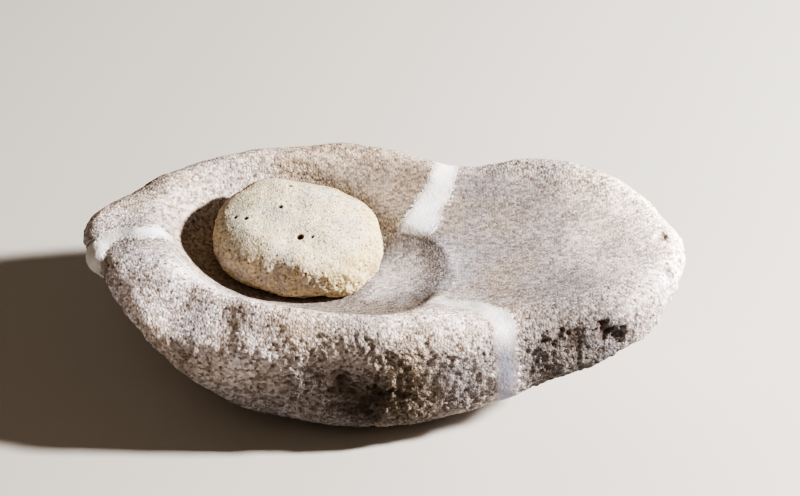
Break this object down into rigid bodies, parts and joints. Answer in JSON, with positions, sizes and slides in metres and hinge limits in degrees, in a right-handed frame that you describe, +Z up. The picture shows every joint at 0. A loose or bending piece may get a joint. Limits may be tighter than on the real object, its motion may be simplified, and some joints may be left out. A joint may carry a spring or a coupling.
{
  "type": "saddle quern",
  "caption": "Boat-shaped boulder worn to a long grinding hollow, broken and mended with plaster, with an oval handstone lying in it for crushing grain.",
  "frame": {"origin": "on the ground, under the middle of the quern's length and width", "axes": "+X along the quern towards its narrow end, +Y to its high back rim, away from the user, +Z up"},
  "size_m": [0.4994, 0.2674, 0.1373],
  "materials": {
    "quern_stone": "matte",
    "plaster": "matte",
    "rubber_stone": "matte"
  },
  "bodies": {
    "root": {"quern_back_fragment": "quern_stone", "quern_front_fragment": "quern_stone", "quern_right_fragment": "quern_stone", "plaster_fill": "plaster", "handstone": "rubber_stone"}
  },
  "joints": []
}
